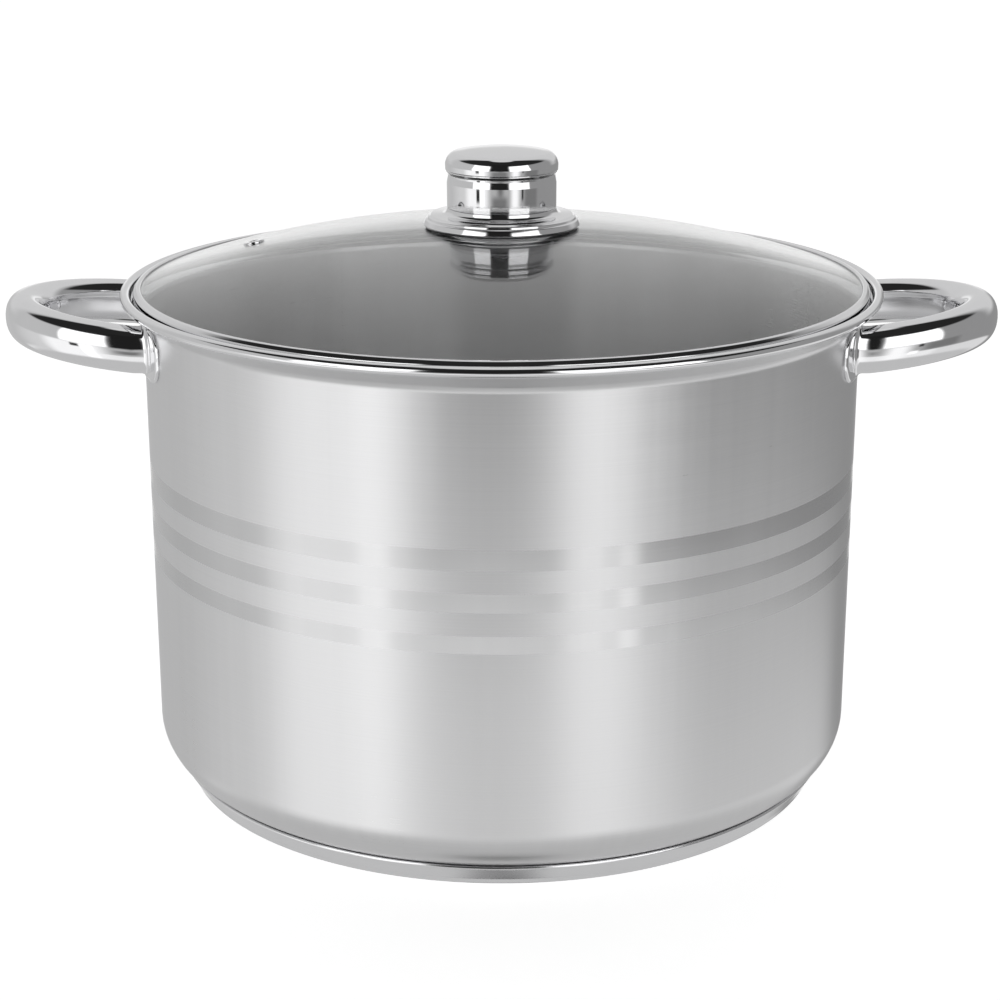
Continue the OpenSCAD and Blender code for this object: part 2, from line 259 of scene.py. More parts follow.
def noise(tree, vector, scale, detail=2.0, rough=0.5):
    """Noise of a vector stretched by a scale for each axis."""
    mapping = add(tree, "ShaderNodeMapping", {"Vector": vector, "Scale": scale})
    links = {"Vector": mapping.outputs[0], "Scale": 1.0, "Detail": detail, "Roughness": rough}
    return add(tree, "ShaderNodeTexNoise", links).outputs[0]


def tint(tree, bsdf, value, color, spread, shade=1.0):
    """Varies the base colour by a small share either side of its value, times a shade factor that paints
    shade where it is below 1.
    """
    links = {"Value": value, "From Min": 0.25, "From Max": 0.75}
    links |= {"To Min": 1 - spread, "To Max": 1 + spread}
    factor = calc(tree, "MULTIPLY", add(tree, "ShaderNodeMapRange", links).outputs[0], shade)
    scaled = add(tree, "ShaderNodeVectorMath", {0: color, "Scale": factor}, operation="SCALE")
    tree.links.new(scaled.outputs[0], bsdf.inputs["Base Color"])


def bump(tree, bsdf, height, distance, strength=1.0):
    """Adds a shallow relief to the shader's normal."""
    links = {"Height": height, "Distance": distance, "Strength": strength}
    node = add(tree, "ShaderNodeBump", links)
    tree.links.new(node.outputs[0], bsdf.inputs["Normal"])


# ---- materials ----


BRUSH_GRAIN = 2600
BAND_ROUGHNESS = 0.16
# The polished bands' base colour is multiplied by this factor: painted shade standing in for their
# darker reflections.
BAND_PAINTED_SHADE = 0.85


def brushed_steel(name, color, roughness, bands=(), anisotropic=0.75):
    """Steel brushed round the axis, with mirror-polished bands at given heights whose base colour is
    darkened as painted shade.
    """
    material, tree, bsdf = new_material(name, color, 1.0, roughness)
    position = object_place(tree)
    axes = add(tree, "ShaderNodeSeparateXYZ", {0: position}).outputs
    flat = add(tree, "ShaderNodeCombineXYZ", {0: axes[0], 1: axes[1]}).outputs[0]
    radius = add(tree, "ShaderNodeVectorMath", {0: flat}, operation="LENGTH").outputs["Value"]
    along = calc(tree, "ADD", axes[2], radius)
    turned = add(tree, "ShaderNodeCombineXYZ", {0: axes[0], 1: axes[1], 2: along}).outputs[0]
    scratches = noise(tree, turned, (14, 14, BRUSH_GRAIN), detail=3, rough=0.6)
    streaks = noise(tree, position, (170, 170, 2.5), detail=2)
    clouds = noise(tree, position, (9, 9, 7), detail=2)
    band = 0.0
    for low, high in bands:
        band = calc(tree, "ADD", window(tree, axes[2], low, high, 0.25 * MM), band)
    uneven = calc(tree, "MULTIPLY_ADD", streaks, 0.06, roughness - 0.11)
    uneven = calc(tree, "MULTIPLY_ADD", scratches, 0.10, uneven)
    uneven = calc(tree, "MULTIPLY_ADD", clouds, 0.06, uneven)
    rough = blend_value(tree, band, uneven, BAND_ROUGHNESS)
    tree.links.new(rough, bsdf.inputs["Roughness"])
    grey = calc(tree, "MULTIPLY_ADD", scratches, 0.6, calc(tree, "MULTIPLY", streaks, 0.4))
    # Painted shade: the polished bands get a darker base colour than the satin steel around them.
    tint(tree, bsdf, grey, color, 0.035, blend_value(tree, band, 1.0, BAND_PAINTED_SHADE))
    depth = blend_value(tree, band, 0.12, 0.02)
    bump(tree, bsdf, scratches, 0.02 * MM, depth)
    tangent = add(tree, "ShaderNodeTangent", direction_type="RADIAL", axis="Z")
    tree.links.new(tangent.outputs[0], bsdf.inputs["Tangent"])
    bsdf.inputs["Anisotropic"].default_value = anisotropic
    bsdf.inputs["Anisotropic Rotation"].default_value = 0.25
    return material


def chrome(name, color=(0.86, 0.86, 0.87), roughness=0.04, wave=0.25):
    """Mirror-polished steel with faint smudges, fine wipe marks and a slight polishing wave."""
    material, tree, bsdf = new_material(name, color, 1.0, roughness)
    position = object_place(tree)
    smudges = noise(tree, position, (70, 70, 70), detail=4, rough=0.6)
    wipes = noise(tree, position, (900, 260, 1400), detail=2)
    rough = calc(tree, "MULTIPLY_ADD", ramp(tree, smudges, 0.45, 0.75), 0.05, roughness)
    rough = calc(tree, "MULTIPLY_ADD", wipes, 0.02, rough)
    tree.links.new(rough, bsdf.inputs["Roughness"])
    tint(tree, bsdf, smudges, color, 0.02)
    ripple = noise(tree, position, (45, 45, 45), detail=1)
    bump(tree, bsdf, calc(tree, "MULTIPLY_ADD", wipes, 0.02, ripple), 0.1 * MM, wave)
    return material


def clear_glass():
    """Tempered lid glass with faint wipe marks."""
    material, tree, bsdf = new_material("tempered_glass", (0.985, 0.99, 0.99), 0.0, 0.0)
    bsdf.inputs["Transmission Weight"].default_value = 1.0
    bsdf.inputs["IOR"].default_value = 1.5
    position = object_place(tree)
    wipes = noise(tree, position, (40, 90, 60), detail=4, rough=0.65)
    tree.links.new(ramp(tree, wipes, 0.5, 0.9, 0.0, 0.035), bsdf.inputs["Roughness"])
    return material


def cast_aluminium():
    """Bare aluminium with a fine cast grain."""
    color = (0.66, 0.67, 0.69)
    material, tree, bsdf = new_material("base_aluminium", color, 1.0, 0.38)
    position = object_place(tree)
    grain = noise(tree, position, (1500, 1500, 1500), detail=4, rough=0.7)
    tree.links.new(ramp(tree, grain, 0.3, 0.7, 0.3, 0.5), bsdf.inputs["Roughness"])
    tint(tree, bsdf, grain, color, 0.06)
    bump(tree, bsdf, grain, 0.05 * MM, 0.5)
    return material


def silicone():
    """Black silicone with a dusty surface."""
    color = (0.035, 0.035, 0.037)
    material, tree, bsdf = new_material("silicone", color, 0.0, 0.5)
    position = object_place(tree)
    dust = noise(tree, position, (1200, 1200, 1200), detail=3)
    tree.links.new(ramp(tree, dust, 0.3, 0.7, 0.42, 0.62), bsdf.inputs["Roughness"])
    tint(tree, bsdf, dust, color, 0.2)
    bump(tree, bsdf, dust, 0.03 * MM, 0.4)
    return material


def moulded_phenolic():
    """Black moulded resin with a fine grain."""
    color = (0.018, 0.018, 0.018)
    material, tree, bsdf = new_material("moulded_phenolic", color, 0.0, 0.35)
    position = object_place(tree)
    grain = noise(tree, position, (900, 900, 900), detail=4, rough=0.6)
    tree.links.new(ramp(tree, grain, 0.3, 0.7, 0.28, 0.46), bsdf.inputs["Roughness"])
    tint(tree, bsdf, grain, color, 0.25)
    bump(tree, bsdf, grain, 0.04 * MM, 0.4)
    return material


def turned_brass():
    """Brass with fine turning rings."""
    color = (0.78, 0.58, 0.27)
    material, tree, bsdf = new_material("turned_brass", color, 1.0, 0.22)
    position = object_place(tree)
    rings = noise(tree, position, (120, 120, 4500), detail=2)
    tree.links.new(ramp(tree, rings, 0.3, 0.7, 0.16, 0.32), bsdf.inputs["Roughness"])
    tint(tree, bsdf, rings, color, 0.08)
    bump(tree, bsdf, rings, 0.03 * MM, 0.4)
    return material


SATIN = (0.80, 0.80, 0.805)
# The inside steel is the same steel as outside with a darker base colour: painted shade for the inside
# of the pot.
INSIDE_SHADED = (0.62, 0.62, 0.625)
outer_wall_steel = brushed_steel("satin_wall", SATIN, 0.31, bands=POLISHED_BANDS, anisotropic=0.3)
inner_wall_shaded_steel = brushed_steel("satin_inside_painted_shade", INSIDE_SHADED, 0.30, anisotropic=0.9)
underside_steel = brushed_steel("turned_base", SATIN, 0.34)
rim_chrome = chrome("polished_rim")
handle_chrome = chrome("polished_handle")
knob_chrome = chrome("polished_knob", wave=0.12)
band_chrome = chrome("polished_lid_band")
cap_chrome = chrome("polished_base", roughness=0.12)
screw_steel = chrome("screw_steel", (0.62, 0.62, 0.63), 0.22)
wire_plating = chrome("plated_wire", (0.78, 0.78, 0.79), 0.13)
glass = clear_glass()
aluminium = cast_aluminium()
rubber = silicone()
phenolic = moulded_phenolic()
brass = turned_brass()


# ---- pot ----


def paint(piece, material, where):
    """Gives a material to the faces whose radius, height and outward slope pass a test."""
    piece.data.materials.append(material)
    index = len(piece.data.materials) - 1
    for face in piece.data.polygons:
        r = math.hypot(face.center.x, face.center.y)
        outward = (face.center.x * face.normal.x + face.center.y * face.normal.y) / max(r, 1e-9)
        if where(r, face.center.z, outward):
            face.material_index = index


def on_inside(r, z, outward):
    """Inside the pot, below the flare, where the darker steel paints shade."""
    above_floor = outward < 0.1 and z > FLOOR_Z + SHEET / 2
    return z < FLARE_Z and (outward < -0.1 or above_floor)


def on_underside(r, z, outward):
    """The flat disc under the pot."""
    return r < WALL_R - CORNER_R and z < FLOOR_Z + SHEET / 2


def on_rim(r, z, outward):
    """The rolled bead and the flare, which is polished from a little higher up outside."""
    inside_flare = z > FLARE_Z and outward < 0
    outside_flare = z > FLARE_Z + 4 * MM and outward > 0
    return z > BEAD_Z - BEAD_R or inside_flare or outside_flare


def pot_body():
    """One spun sheet: floor, round corner, straight wall, flared mouth and a rolled bead."""
    curl_end = -105
    mouth_x = BEAD_X - BEAD_R
    outside = [
        (0, FLOOR_Z),
        (WALL_R, FLOOR_Z, CORNER_R),
        (WALL_R, FLARE_Z - 0.4 * MM, 6 * MM),
        (mouth_x + SHEET, BEAD_Z - 2.4 * MM, 3 * MM),
    ]
    curl = arc((BEAD_X, BEAD_Z), BEAD_R - SHEET, 180, curl_end, 24)
    curl += arc((BEAD_X, BEAD_Z), BEAD_R, curl_end, 180, 40)
    inside = [
        (mouth_x, BEAD_Z - 2 * MM, 2 * MM),
        (WALL_R - SHEET, FLARE_Z, 7 * MM),
        (WALL_R - SHEET, FLOOR_Z + SHEET, CORNER_R - SHEET),
        (0, FLOOR_Z + SHEET),
    ]
    outline = rounded(outside + curl + inside, steps=14)
    piece = lathe("pot_body", outline, outer_wall_steel, FINE_SEGMENTS)
    # Painted shade: the inside of the pot gets the darker copy of the satin steel.
    paint(piece, inner_wall_shaded_steel, on_inside)
    paint(piece, underside_steel, on_underside)
    paint(piece, rim_chrome, on_rim)
    return fit(piece, "pot", "satin_steel", "pot_shell")


def base_cover():
    """The polished cap over the aluminium disc: flat foot, rounded edge and a thin turned lip."""
    _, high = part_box("base_cap")
    edge_x, edge_z = high.x, high.z
    foot_x = edge_x - 5.4 * MM
    outline = [
        (0, 0),
        (foot_x + 0.3 * MM, 0, 1.2 * MM),
        (foot_x + 1.2 * MM, 3.0 * MM, 0.8 * MM),
        (foot_x + 1.9 * MM, 3.5 * MM, 0.5 * MM),
        (edge_x - 0.5 * MM, edge_z - 1.6 * MM, 1 * MM),
        (edge_x + 0.3 * MM, edge_z - 0.9 * MM, 0.4 * MM),
        (edge_x + 0.1 * MM, edge_z + 0.1 * MM, 0.3 * MM),
        (edge_x - 1.1 * MM, edge_z + 0.2 * MM, 0.3 * MM),
        (foot_x - 0.8 * MM, 2.6 * MM),
        (foot_x - 3.2 * MM, SHEET),
        (0, SHEET),
    ]
    piece = lathe("base_cover", rounded(outline, steps=6), cap_chrome)
    return fit(piece, "pot", "polished_steel", "base_cap")


# ---- handles ----

_, ARM_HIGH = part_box("handle_right")
FEET_LOW, FEET_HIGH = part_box("handle_feet_right")
GRIP_W, GRIP_H = 16.1 * MM, 23.4 * MM
GRIP_SWELL = 3.2 * MM
LOOP_ROOT = WALL_R - SHEET
LOOP_REACH = ARM_HIGH.x - (GRIP_W + GRIP_SWELL) / 2 - LOOP_ROOT
LOOP_HALF = 53 * MM
GRIP_Z = 230.4 * MM
GRIP_RISE = 7.0 * MM
PLATE_W, PLATE_H = 30 * MM, FEET_HIGH.z - FEET_LOW.z
PLATE_Y = FEET_HIGH.y - PLATE_W / 2
PLATE_Z = (FEET_HIGH.z + FEET_LOW.z) / 2
PLATE_CORNER = 11 * MM
# In millimetres: (distance out from the wall, spread round the arm) up the weld's fillet, and
# (distance out from the wall, inset from the outline) over the plate's rolled edge.
WELD_FILLET = [(0.6, 2.2), (1.6, 1.9), (1.9, 1.0), (2.5, 0.3), (3.6, 0)]
PLATE_EDGE = [(0.02, 0.3), (0.5, 0), (1.1, 0.1), (1.5, 0.5), (1.65, 1.2), (1.7, 3.0)]


def loop_section(point, outward, width, height):
    """A rounded oval section standing across the loop, a little fuller than an ellipse."""
    sides, fullness = 48, 2.25
    ring = []
    for k in range(sides):
        a = 2 * math.pi * k / sides
        across = math.copysign(abs(math.cos(a)) ** (2 / fullness), math.cos(a)) * width / 2
        up = math.copysign(abs(math.sin(a)) ** (2 / fullness), math.sin(a)) * height / 2
        ring.append(point + outward * across + Vector((0, 0, up)))
    return ring


def on_wall(side, y, z, depth):
    """A point a given depth outside the wall."""
    return Vector((side * math.sqrt((WALL_R + depth) ** 2 - y**2), y, z))


def arm_root(side, end, depth, spread):
    """The arm's section laid on the wall, spread out to form the weld's fillet."""
    centre = Vector((0, end * LOOP_HALF, GRIP_Z))
    section = loop_section(centre, Vector((0, end, 0)), GRIP_W + 2 * spread, GRIP_H + 2 * spread)
    return [on_wall(side, p.y, p.z, depth) for p in section]


def handle_loop(name, side, node):
    """A bent tube along half an ellipse, wider and raised at its tip, welded at each foot."""
    steps = 72
    rings = [arm_root(side, -1, depth * MM, spread * MM) for depth, spread in WELD_FILLET]
    for i in range(steps + 1):
        a = math.radians(-90 + 180 * i / steps)
        x = LOOP_ROOT + LOOP_REACH * math.cos(a)
        outward = Vector((LOOP_HALF * math.cos(a), LOOP_REACH * math.sin(a), 0)).normalized()
        outward.x *= side
        point = Vector((side * x, LOOP_HALF * math.sin(a), GRIP_Z + GRIP_RISE * math.cos(a)))
        rings.append(loop_section(point, outward, GRIP_W + GRIP_SWELL * math.cos(a) ** 2, GRIP_H))
    rings += [arm_root(side, 1, depth * MM, spread * MM) for depth, spread in reversed(WELD_FILLET)]
    bm = bmesh.new()
    add_loft(bm, rings)
    return fit(finish_mesh(name, bm, handle_chrome), "pot", "polished_steel", node)


def plate_ring(side, y, depth, inset):
    """The foot plate's outline, laid on a cylinder a given depth outside the wall."""
    steps = 10
    corner = PLATE_CORNER - inset
    across = PLATE_W / 2 - PLATE_CORNER
    up = PLATE_H / 2 - PLATE_CORNER
    corners = [(across, up, 0), (-across, up, 90), (-across, -up, 180), (across, -up, 270)]
    outline = []
    for cx, cz, start in corners:
        outline += arc((cx, cz), corner, start, start + 90, steps)
    return [on_wall(side, y + py, PLATE_Z + pz, depth) for py, pz in outline]


def handle_feet(name, side, node):
    """The two curved plates on the wall under the arms, with rolled edges."""
    bm = bmesh.new()
    for y in (-PLATE_Y, PLATE_Y):
        add_loft(bm, [plate_ring(side, y, depth * MM, inset * MM) for depth, inset in PLATE_EDGE])
    return fit(finish_mesh(name, bm, handle_chrome), "pot", "polished_steel", node)


# ---- lid ----

BAND_LOW, BAND_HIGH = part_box("lid_band")
_, GLASS_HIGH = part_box("lid_glass")
VENT_LOW, VENT_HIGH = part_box("vent_eyelet")
DOME_R = 594 * MM
DOME_C = 283 * MM - DOME_R
GLASS_T = 4 * MM
UNDER_R = DOME_R - GLASS_T
SCREW_HOLE_R = 4 * MM
VENT_HOLE_R = 3.6 * MM
VENT_FROM_AXIS = 130 * MM
VENT_X = (VENT_LOW.x + VENT_HIGH.x) / 2
VENT_Y = (VENT_LOW.y + VENT_HIGH.y) / 2


def dome_z(r, radius=DOME_R):
    """The height of the glass at a distance from the axis, on its outside unless told."""
    return DOME_C + math.sqrt(radius**2 - r**2)


def vent_place():
    """The frame at the vent on the dome's outside, with +Z along the dome's normal."""
    tilt = math.asin(VENT_FROM_AXIS / DOME_R)
    turn = Matrix.Rotation(math.atan2(VENT_Y, VENT_X), 4, "Z") @ Matrix.Translation((0, 0, DOME_C))
    return turn @ Matrix.Rotation(tilt, 4, "Y") @ Matrix.Translation((0, 0, DOME_R))


VENT_PLACE = vent_place()


def lid_dome():
    """The curved glass disc with a ground edge, a hole for the knob's screw and one for the vent."""
    edge_r = GLASS_HIGH.x
    steps = 64
    radii = [SCREW_HOLE_R + (edge_r - SCREW_HOLE_R) * i / steps for i in range(steps)]
    top = [(r, dome_z(r)) for r in radii]
    edge = [
        (edge_r - 0.5 * MM, dome_z(edge_r) + 0.05 * MM),
        (edge_r, dome_z(edge_r) - 0.7 * MM),
        (edge_r, dome_z(edge_r, UNDER_R) + 0.5 * MM),
    ]
    bottom = [(r, dome_z(r, UNDER_R)) for r in reversed(radii)]
    piece = lathe("lid_dome", top + edge + bottom, glass)
    reach = 15 * MM
    drill_outline = [(0, -reach), (VENT_HOLE_R, -reach), (VENT_HOLE_R, reach), (0, reach)]
    drill = lathe("drill", drill_outline, glass, 48, VENT_PLACE)
    cut = piece.modifiers.new("vent_hole", "BOOLEAN")
    cut.object = drill
    cut.solver = "EXACT"
    bpy.context.view_layer.update()
    whole = piece.evaluated_get(bpy.context.evaluated_depsgraph_get())
    drilled = bpy.data.meshes.new_from_object(whole)
    piece.modifiers.remove(cut)
    piece.data = drilled
    piece.data.shade_smooth()
    piece.data.set_sharp_from_angle(angle=math.radians(35))
    bpy.data.objects.remove(drill)
    return fit(piece, "lid", "lid_glass", "lid_glass")


def vent_ring():
    """A riveted eyelet with a rolled flange on each side of the glass."""
    bore, tube, flange = 2.2 * MM, 3.55 * MM, 5.5 * MM
    under = -GLASS_T - 0.1 * MM
    outline = [
        (bore, under - 0.9 * MM, 0.6 * MM),
        (flange - 0.5 * MM, under - 0.9 * MM, 0.4 * MM),
        (flange - 0.5 * MM, under),
        (tube, under),
        (tube, 0.05 * MM),
        (flange, 0.05 * MM),
        (flange, 0.95 * MM, 0.55 * MM),
        (bore, 0.95 * MM, 0.6 * MM),
    ]
    piece = lathe("vent_ring", rounded(outline, 5), knob_chrome, 64, VENT_PLACE)
    return fit(piece, "lid", "polished_steel", "vent_eyelet")


def lid_rim():
    """A steel channel rolled over the glass edge."""
    low, high, r = BAND_LOW.z, BAND_HIGH.z, BAND_HIGH.x
    lip = r - 3.8 * MM
    slot = r - 1.0 * MM
    outline = [
        (lip, high + 0.25 * MM, 0.85 * MM),
        (r - 1.7 * MM, high + 0.25 * MM, 1.3 * MM),
        (r, high - 1.6 * MM, 1.4 * MM),
        (r, low, 1.0 * MM),
        (lip, low, 0.5 * MM),
        (lip, dome_z(lip, UNDER_R) - 0.02 * MM),
        (slot, dome_z(slot, UNDER_R) - 0.02 * MM),
        (slot, dome_z(slot) + 0.05 * MM),
        (lip, dome_z(lip) + 0.02 * MM),
    ]
    piece = lathe("lid_rim", rounded(outline), band_chrome, FINE_SEGMENTS)
    return fit(piece, "lid", "polished_steel", "lid_band")


# ---- knob ----

SLEEVE_LOW, SLEEVE_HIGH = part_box("knob_sleeve")
TOP_LOW, TOP_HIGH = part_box("knob_cap")
SKIRT_LOW, SKIRT_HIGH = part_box("knob_skirt")
CUP_LOW, CUP_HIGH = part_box("lower_cup")
KNOB_SEGMENTS = 128
HEM = 3.4 * MM


def knob_top():
    """A domed cap with a broad rounded edge and a turned-in lower lip."""
    r, low, high = TOP_HIGH.x, TOP_LOW.z, TOP_HIGH.z
    wall = 0.9 * MM
    crown = 130 * MM
    top = [(x, high - x * x / (2 * crown)) for x in (0, 5 * MM, 10 * MM, 15 * MM)]
    outline = top + [
        (r - 1.7 * MM, high - 2.7 * MM, 5.6 * MM),
        (r, high - 7.6 * MM, 5 * MM),
        (r - 0.1 * MM, low, 0.4 * MM),
        (r - 2.2 * MM, low, 0.3 * MM),
        (r - 2.2 * MM, low + wall, 0.2 * MM),
        (r - wall, low + wall, 0.3 * MM),
        (r - wall, high - 7.6 * MM, 3 * MM),
        (r - 3.4 * MM, high - 3.8 * MM, 5 * MM),
        (0, high - wall),
    ]
    piece = lathe("knob_top", rounded(outline, 10), knob_chrome, KNOB_SEGMENTS)
    return fit(piece, "lid", "polished_steel", "knob_cap")


def knob_grip():
    """The straight sleeve with a shallow hollow band under the cap."""
    r, low = SLEEVE_HIGH.x, SLEEVE_LOW.z + 0.4 * MM
    top = TOP_LOW.z - 0.02 * MM
    band_low, band_high = top - 6.2 * MM, top - 0.7 * MM
    depth = 0.55 * MM
    wall = 0.6 * MM
    outline = [
        (r - HEM, low - 0.35 * MM),
        (r, low - 0.35 * MM, 0.5 * MM),
        (r, band_low, 0.3 * MM),
        (r - depth, band_low + 3 * MM, 2 * MM),
        (r - depth, band_high - 1.2 * MM, 1 * MM),
        (r + 0.3 * MM, band_high, 0.4 * MM),
        (r + 0.3 * MM, top, 0.3 * MM),
        (r - depth - wall, top),
        (r - depth - wall, low + wall),
        (r - HEM, low + wall),
    ]
    piece = lathe("knob_grip", rounded(outline, 6), knob_chrome, KNOB_SEGMENTS)
    return fit(piece, "lid", "polished_steel", "knob_sleeve")


def knob_flange():
    """The flared skirt: a hollow sweep out from the sleeve to a rolled edge on the gasket."""
    r, low, high = SKIRT_HIGH.x, SKIRT_LOW.z - 1.2 * MM, SKIRT_HIGH.z
    foot_r = SLEEVE_HIGH.x
    outline = [
        (foot_r - HEM, high),
        (foot_r - 0.1 * MM, high, 0.2 * MM),
        (foot_r + 0.5 * MM, low + 6.1 * MM, 2.6 * MM),
        (r - 3.9 * MM, low + 5.8 * MM, 0.6 * MM),
        (r - 3.1 * MM, low + 5.1 * MM, 0.5 * MM),
        (r - 2.3 * MM, low + 4.9 * MM, 0.5 * MM),
        (r - 1.9 * MM, low + 3.7 * MM, 0.3 * MM),
        (r - 1.0 * MM, low + 3.5 * MM, 0.7 * MM),
        (r, low + 0.9 * MM, 0.7 * MM),
        (r - 0.5 * MM, low, 0.4 * MM),
        (r - 1.2 * MM, low + 0.3 * MM, 0.3 * MM),
        (r - 2.8 * MM, low + 3.4 * MM, 0.8 * MM),
        (foot_r - 0.5 * MM, low + 4.9 * MM, 1 * MM),
        (foot_r - HEM, high - 1 * MM),
    ]
    piece = lathe("knob_flange", rounded(outline), knob_chrome, 160)
    return fit(piece, "lid", "polished_steel", "knob_skirt")


def under_cup():
    """The pressed steel cup under the glass that the knob's screw pulls up."""
    r, low, high = CUP_HIGH.x, CUP_LOW.z, CUP_HIGH.z
    wall = 0.9 * MM
    step = 0.5 * MM
    screw_r = 2.8 * MM
    outline = [
        (screw_r, low),
        (r - 7 * MM, low, 2 * MM),
        (r - 5.5 * MM, low + step, 2 * MM),
        (r, low + step, 2.6 * MM),
        (r, high, 0.4 * MM),
        (r - wall, high, 0.3 * MM),
        (r - wall, low + wall + step, 1.8 * MM),
        (screw_r, low + wall),
    ]
    piece = lathe("under_cup", rounded(outline), knob_chrome, KNOB_SEGMENTS)
    return fit(piece, "lid", "polished_steel", "lower_cup")


# ---- jar rack ----

RING_LOW, RING_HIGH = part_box("rack_base_ring")
TOP_RING_LOW, TOP_RING_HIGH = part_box("rack_top_ring")
HUB_LOW, HUB_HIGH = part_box("rack_hub_rings")
FLOOR_LOW, FLOOR_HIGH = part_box("rack_floor_wires")
CROSS_LOW, CROSS_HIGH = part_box("rack_cross_wires")
HEAVY_R = (RING_HIGH.z - RING_LOW.z) / 2
LIGHT_R = 1.75 * MM
RACK_R = RING_HIGH.x - HEAVY_R
HUB_R = HUB_HIGH.x - LIGHT_R
BASE_RING_Z = (RING_HIGH.z + RING_LOW.z) / 2
TOP_RING_Z = (TOP_RING_HIGH.z + TOP_RING_LOW.z) / 2
LOWER_HUB_Z = HUB_LOW.z + LIGHT_R
FLOOR_WIRE_Z = (FLOOR_LOW.z + FLOOR_HIGH.z) / 2
CROSS_Y = CROSS_HIGH.y - LIGHT_R
CROSS_Z = (CROSS_LOW.z + CROSS_HIGH.z) / 2
FLOOR_PITCH = 32 * MM
JARS = 6


def polar(radius, degrees, z):
    """A point at a distance and an angle round the axis."""
    a = math.radians(degrees)
    return Vector((radius * math.cos(a), radius * math.sin(a), z))


def wire_ring(name, radius, wire_r, heights, node):
    """Rings of round wire, each with the upset bead of its butt weld."""
    bm = bmesh.new()
    for z in heights:
        add_lathe(bm, arc((radius, z), wire_r, 0, 360 - 22.5, 15), 192)
        add_weld(bm, polar(radius, 262, z), wire_r * 1.12)
    piece = finish_mesh(name, bm, wire_plating, smooth_angle=60)
    return fit(piece, "rack", "rack_wire", node)


def chord(radius, offset):
    """Half the length of a wire that crosses a circle at an offset from its middle."""
    return math.sqrt(radius**2 - offset**2)


def rack_floor():
    """The floor wires the jars stand on."""
    paths, welds = [], []
    for i in range(-4, 5):
        x = i * FLOOR_PITCH
        y = chord(RACK_R, x)
        paths.append([(x, -y, FLOOR_WIRE_Z), (x, 0, FLOOR_WIRE_Z), (x, y, FLOOR_WIRE_Z)])
        welds += [(x, s * y, FLOOR_WIRE_Z - LIGHT_R * 0.7) for s in (-1, 1)]
    piece = wires("rack_floor_rods", paths, LIGHT_R, wire_plating, welds)
    return fit(piece, "rack", "rack_wire", "rack_floor_wires")


def rack_cross_bars():
    """The two cross wires under the floor wires."""
    x = chord(RACK_R, CROSS_Y)
    weld_z = (FLOOR_WIRE_Z + CROSS_Z) / 2
    touching = [i * FLOOR_PITCH for i in range(-4, 5) if abs(i * FLOOR_PITCH) < x]
    paths = [[(i * x, s * CROSS_Y, CROSS_Z) for i in (-1, 0, 1)] for s in (-1, 1)]
    welds = [(place, s * CROSS_Y, weld_z) for place in touching for s in (-1, 1)]
    piece = wires("rack_cross_rods", paths, LIGHT_R, wire_plating, welds)
    return fit(piece, "rack", "rack_wire", "rack_cross_wires")


def rack_legs():
    """Bent-wire feet under the cross wires."""
    low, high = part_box("rack_feet")
    bend_r = 6 * MM
    foot_x = high.x - LIGHT_R - bend_r
    bend_z = low.z + LIGHT_R + bend_r
    paths, welds = [], []
    for sx in (-1, 1):
        for sy in (-1, 1):
            bend = arc((sx * foot_x, bend_z), bend_r, 180, 360, 16)
            ends = [(sx * foot_x - bend_r, CROSS_Z), (sx * foot_x + bend_r, CROSS_Z)]
            outline = [ends[0]] + bend + [ends[1]]
            paths.append([(x, sy * CROSS_Y, z) for x, z in outline])
            welds += [(x, sy * CROSS_Y, z) for x, z in ends]
    piece = wires("rack_legs", paths, LIGHT_R, wire_plating, welds)
    return fit(piece, "rack", "rack_wire", "rack_feet")


def rack_stakes():
    """Uprights between the base ring and the top ring, two for each jar."""
    count = 2 * JARS
    heights = (BASE_RING_Z, (BASE_RING_Z + TOP_RING_Z) / 2, TOP_RING_Z)
    weld_heights = (BASE_RING_Z + 1.6 * MM, TOP_RING_Z - 1.6 * MM)
    paths, welds = [], []
    for i in range(count):
        angle = (i + 0.5) * 360 / count
        paths.append([polar(RACK_R, angle, z) for z in heights])
        welds += [polar(RACK_R - 1 * MM, angle, z) for z in weld_heights]
    piece = wires("rack_stakes", paths, LIGHT_R, wire_plating, welds)
    return fit(piece, "rack", "rack_wire", "rack_uprights")


def rack_dividers():
    """Spokes from the hub to the top ring, which part the jars."""
    radii = (HUB_R, (HUB_R + RACK_R) / 2, RACK_R)
    angles = [i * 360 / JARS for i in range(JARS)]
    paths = [[polar(r, angle, TOP_RING_Z) for r in radii] for angle in angles]
    welds = [polar(RACK_R - 2 * MM, angle, TOP_RING_Z) for angle in angles]
    piece = wires("rack_dividers", paths, LIGHT_R, wire_plating, welds)
    return fit(piece, "rack", "rack_wire", "rack_spokes")


def rack_hub_posts():
    """Posts between the two hub rings, one under each spoke."""
    heights = (LOWER_HUB_Z, (LOWER_HUB_Z + TOP_RING_Z) / 2, TOP_RING_Z)
    angles = [i * 360 / JARS for i in range(JARS)]
    paths = [[polar(HUB_R, angle, z) for z in heights] for angle in angles]
    welds = [polar(HUB_R, angle, z) for angle in angles for z in (LOWER_HUB_Z, TOP_RING_Z)]
    piece = wires("rack_hub_posts", paths, LIGHT_R, wire_plating, welds)
    return fit(piece, "rack", "rack_wire", "rack_posts")


_, EYE_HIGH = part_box("rack_eyes")
EYE_R = 4.2 * MM
EYE_L = 10 * MM
EYE_X = EYE_HIGH.x - EYE_R
EYE_Y = EYE_HIGH.y - EYE_L / 2
EYE_Z = EYE_HIGH.z - EYE_R
BAIL_REACH = 118 * MM


